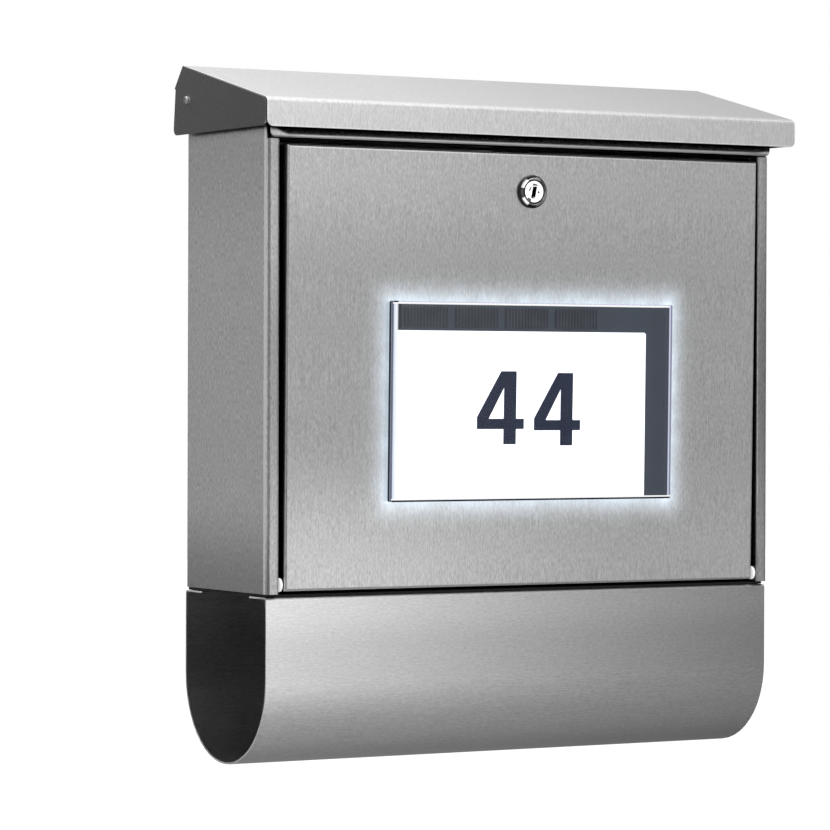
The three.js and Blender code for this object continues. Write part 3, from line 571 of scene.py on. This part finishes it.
def chrome_lock():
    """Polished chrome of a cylinder lock, with painted reflections of the light and dark sides of
    a studio and a painted glow in its emission.
    """
    s = Shader.surface("chrome_lock")
    u, _, w = s.on_door(LOCK["x"], LOCK["z"])
    radius = s.math("SQRT", s.total(s.product(u, u), s.product(w, w)))
    angle = s.math("DEGREES", s.math("ARCTAN2", w, u))

    def tint(value):
        return (value, value, value * 1.01, 1)

    plug = LOCK["plug"]
    collar = LOCK["collar"]
    ring = s.within(radius, plug, collar + MM, 0.1 * MM)
    outer = s.within(radius, 8.7 * MM, collar + MM, 0.2 * MM)
    color = tint(0.32)
    # Each sector is a painted reflection of the studio's light or dark side, with its tone, its
    # two ends in degrees anticlockwise from the right, its softness and the ring that it lies on.
    sectors = (
        (0.16, 0, 62, 10, ring),
        (0.45, 62, 100, 8, ring),
        (0.0, 84, 126, 4, outer),
        (1.0, 126, 166, 3, ring),
        (0.02, 167, 172, 1.5, ring),
        (0.14, 172, 181, 3, ring),
        (0.14, -181, -156, 3, ring),
        (1.0, -154, -118, 2, ring),
        (0.0, -116, -80, 4, outer),
    )
    for value, low, high, soft, where in sectors:
        color = s.paint(color, tint(value), s.product(where, s.within(angle, low, high, soft)))
    rim = s.within(radius, collar - 0.7 * MM, collar + MM, 0.2 * MM)
    seam = s.within(radius, plug - 0.3 * MM, plug + 0.5 * MM, 0.2 * MM)
    plug_face = s.within(radius, -MM, plug - 0.4 * MM, 0.15 * MM)
    # Painted reflections darken the rim and brighten the plug's face; the seam round the plug is
    # dark.
    for value, mask in ((0.06, rim), (0.03, seam), (0.95, plug_face)):
        color = s.paint(color, tint(value), mask)
    lean = math.radians(11)
    across = s.total(s.product(u, math.cos(lean)), s.product(w, -math.sin(lean)))
    along = s.total(s.product(w, math.cos(lean)), s.product(u, math.sin(lean)))
    keyway = s.product(
        s.within(across, -1.5 * MM, 1.5 * MM, 0.15 * MM),
        s.within(along, -4.4 * MM, 3.4 * MM, 0.2 * MM),
    )
    crown = s.product(
        s.within(along, 3.9 * MM, 4.9 * MM, 0.3 * MM),
        s.within(across, -1.8 * MM, 1.6 * MM, 0.3 * MM),
    )
    ward = s.product(s.within(radius, 3.0 * MM, 3.9 * MM, 0.3 * MM), s.within(angle, 128, 181, 8))
    notch = s.product(s.within(radius, 5.2 * MM, plug, 0.2 * MM), s.within(angle, -138, -112, 4))
    dot_u = s.math("SUBTRACT", u, 3.2 * MM)
    dot_w = s.math("ADD", w, 0.3 * MM)
    from_dot = s.total(s.product(dot_u, dot_u), s.product(dot_w, dot_w))
    dot = s.ramp(from_dot, 0.2 * MM**2, 0.9 * MM**2, 1.0, 0.0)
    # The keyway and the keyhole's crown and wards are painted dark, as shade in the hole; a notch
    # and a stamped dot are painted darker.
    for value, mask in ((0.12, crown), (0.12, ward), (0.15, notch), (0.10, dot), (0.004, keyway)):
        color = s.paint(color, tint(value), mask)
    swirl = s.noise(s.place(), 700.0, 2.0)
    relief = {"Height": swirl, "Strength": 0.1, "Distance": 0.1 * MM}
    return s.finish(
        s.add(
            "ShaderNodeBsdfPrincipled",
            {
                "Base Color": color,
                "Metallic": 1.0,
                "Roughness": s.ramp(swirl, 0.3, 0.7, 0.14, 0.22),
                "Emission Color": s.vector("MULTIPLY", color, color),
                "Emission Strength": 0.6,
                "Normal": s.add("ShaderNodeBump", relief),
            },
        )
    )


# Colour, roughness, metallic and emission of the plain materials. The lit panel is a lamp; the
# faint emission of the nylon washers and the zinc fasteners is painted light in place of their
# bright reflections.
PLAIN = {
    "zinc_fastener": ((0.74, 0.74, 0.74), 0.26, 1.0, 0.04),
    "white_nylon": ((0.9, 0.9, 0.9), 0.4, 0.0, 0.5),
    "black_rubber": ((0.008, 0.008, 0.008), 0.8, 0.0, 0.0),
    "lit_panel": ((0.97, 0.98, 1.0), 0.5, 0.0, 1.0),
    "window_mask": ((0.079, 0.097, 0.125), 0.6, 0.0, 0.0),
    "number_film": ((0.003, 0.014, 0.055), 0.6, 0.0, 0.0),
    "lamp_plastic": ((0.7, 0.7, 0.68), 0.5, 0.0, 0.0),
    "circuit_board": ((0.02, 0.16, 0.07), 0.4, 0.0, 0.0),
    "battery_sleeve": ((0.05, 0.15, 0.38), 0.35, 0.0, 0.0),
}


def slot_finishes():
    """One material for each slot that the record names."""
    made = {name: plain(name, *look) for name, look in PLAIN.items()}
    made["brushed_vertical"] = brushed_steel("brushed_vertical", "z")
    made["brushed_lid"] = brushed_steel("brushed_lid", "fold", streak=0.22, shade=lid_shade)
    made["brushed_horizontal"] = brushed_steel(
        "brushed_horizontal",
        "x",
        color=0.66,
        roughness=0.36,
        streak=0.2,
        dark=(0.0, 0.5),
        shade=holder_shade,
    )
    made["inner_steel"] = brushed_steel(
        "inner_steel", "x", color=0.4, roughness=0.42, dark=(0.3, 0.8)
    )
    made["chrome_lock"] = chrome_lock()
    made["clear_acrylic"] = clear_acrylic()
    made["solar_cell"] = solar_cells()
    return made


def piece_finishes():
    """The pieces whose steel has painted light and shade of its own."""
    return {
        "door_panel": brushed_steel(
            "door_steel", "z", dark=(0.12, 0.5), shade=door_shade, glow=window_light
        ),
        "left_side_panel": brushed_steel("left_side_steel", "z", streak=0.42, shade=side_shade),
        "right_side_panel": brushed_steel("right_side_steel", "z", streak=0.42, shade=side_shade),
        "front_rail": brushed_steel("rail_steel", "z", dark=(0.02, 0.15), shade=rail_shade),
    }


def smooth_group(limit):
    """Joins split corners and keeps an edge sharp only where the faces turn past the limit."""
    group = bpy.data.node_groups.new("smooth_by_angle", "GeometryNodeTree")
    for way in ("INPUT", "OUTPUT"):
        group.interface.new_socket("Geometry", in_out=way, socket_type="NodeSocketGeometry")
    s = Shader(group)
    start = s.add("NodeGroupInput")
    joined = s.add("GeometryNodeMergeByDistance", {"Geometry": start, "Distance": 0.005 * MM})
    angle = s.add("GeometryNodeInputMeshEdgeAngle").outputs["Unsigned Angle"]
    soft = s.add("FunctionNodeCompare", {0: angle, 1: limit}, operation="LESS_THAN")
    by_edge = {"Geometry": joined, "Shade Smooth": soft}
    edges = s.add("GeometryNodeSetShadeSmooth", by_edge, domain="EDGE")
    by_face = {"Geometry": edges, "Shade Smooth": True}
    faces = s.add("GeometryNodeSetShadeSmooth", by_face, domain="FACE")
    end = s.add("NodeGroupOutput")
    s.tree.links.new(faces.outputs[0], end.inputs[0])
    return group


def apply_finishes():
    by_slot = slot_finishes()
    by_piece = piece_finishes()
    group = smooth_group(math.radians(32))
    for part in frame["record"]["subparts"]:
        name = part["node"]
        piece = nodes[name]
        piece.data.materials.clear()
        piece.data.materials.append(by_piece.get(name, by_slot[part["material_slot"]]))
        piece.modifiers.new("smooth", "NODES").node_group = group
        weighted = piece.modifiers.new("weighted", "WEIGHTED_NORMAL")
        weighted.keep_sharp = True


# ---------------------------------------------------------------- stage


def light_world():
    """Soft studio light on the box, in front of a plain white background.

    Directions are in degrees: around is 0 at the front and grows to the right, and height is 0
    level with the box.
    """
    world = bpy.data.worlds.new("studio")
    bpy.context.scene.world = world
    world.use_nodes = True
    s = Shader(world.node_tree)
    x, y, z = s.parts(s.add("ShaderNodeTexCoord").outputs["Generated"])
    around = s.math("DEGREES", s.math("ARCTAN2", x, s.product(y, -1.0)))
    height = s.math("DEGREES", s.math("ARCSINE", z))
    from_level = s.math("ABSOLUTE", s.math("ADD", height, 0.4))
    stacked = s.total(1.0, s.product(s.ramp(from_level, 0.3, 4.0), 0.45))
    front = s.product(s.within(around, 2, 31.0, 3), s.within(height, -12, 62, 12), stacked)
    left = s.product(s.within(around, -128, -82, 12), s.within(height, -30, 50, 18))
    right = s.product(s.within(around, 72, 128, 12), s.within(height, -30, 50, 18))
    front_left = s.product(s.within(around, -62, -40, 6), s.within(height, -12, 50, 12))
    high_back = s.product(s.ramp(z, 0.15, 0.45), s.ramp(y, 0.0, 0.6))
    overhead = s.ramp(z, 0.45, 0.95)
    lamps = (
        (1.12, front),
        (0.95, left),
        (0.7, right),
        (0.55, front_left),
        (0.9, high_back),
        (0.9, overhead),
    )
    dark_corner = -156
    from_dark_corner = s.math("ABSOLUTE", s.math("SUBTRACT", around, dark_corner))
    light = s.ramp(z, -0.6, 0.1, 0.26, 0.30)
    light = s.product(light, s.ramp(from_dark_corner, 8, 24, 0.2, 1.0))
    for strength, lamp in lamps:
        light = s.total(light, s.product(lamp, strength))
    seen = s.add("ShaderNodeBackground", {"Color": (1, 1, 1, 1), "Strength": 1.0})
    felt = s.add("ShaderNodeBackground", {"Color": (1, 1, 1, 1), "Strength": light})
    camera_ray = s.add("ShaderNodeLightPath").outputs["Is Camera Ray"]
    mixed = s.add("ShaderNodeMixShader", {0: camera_ray, 1: felt, 2: seen})
    out = s.add("ShaderNodeOutputWorld")
    s.tree.links.new(mixed.outputs[0], out.inputs["Surface"])


def lay_floor():
    """A pale floor well below the box, which neither lights it nor shows in it."""
    reach = 6.0
    level = -0.42
    mesh = bpy.data.meshes.new("floor")
    square = ((-1, -1), (1, -1), (1, 1), (-1, 1))
    mesh.from_pydata([(x * reach, y * reach, level) for x, y in square], [], [(0, 1, 2, 3)])
    floor = bpy.data.objects.new("floor", mesh)
    bpy.context.scene.collection.objects.link(floor)
    s = Shader.surface("floor")
    pale = s.add("ShaderNodeBsdfDiffuse", {"Color": (0.93, 0.93, 0.93, 1)})
    mesh.materials.append(s.finish(pale))
    floor.visible_glossy = False
    floor.visible_diffuse = False


place_camera()
apply_finishes()
light_world()
lay_floor()
bpy.context.scene.view_settings.view_transform = "Standard"
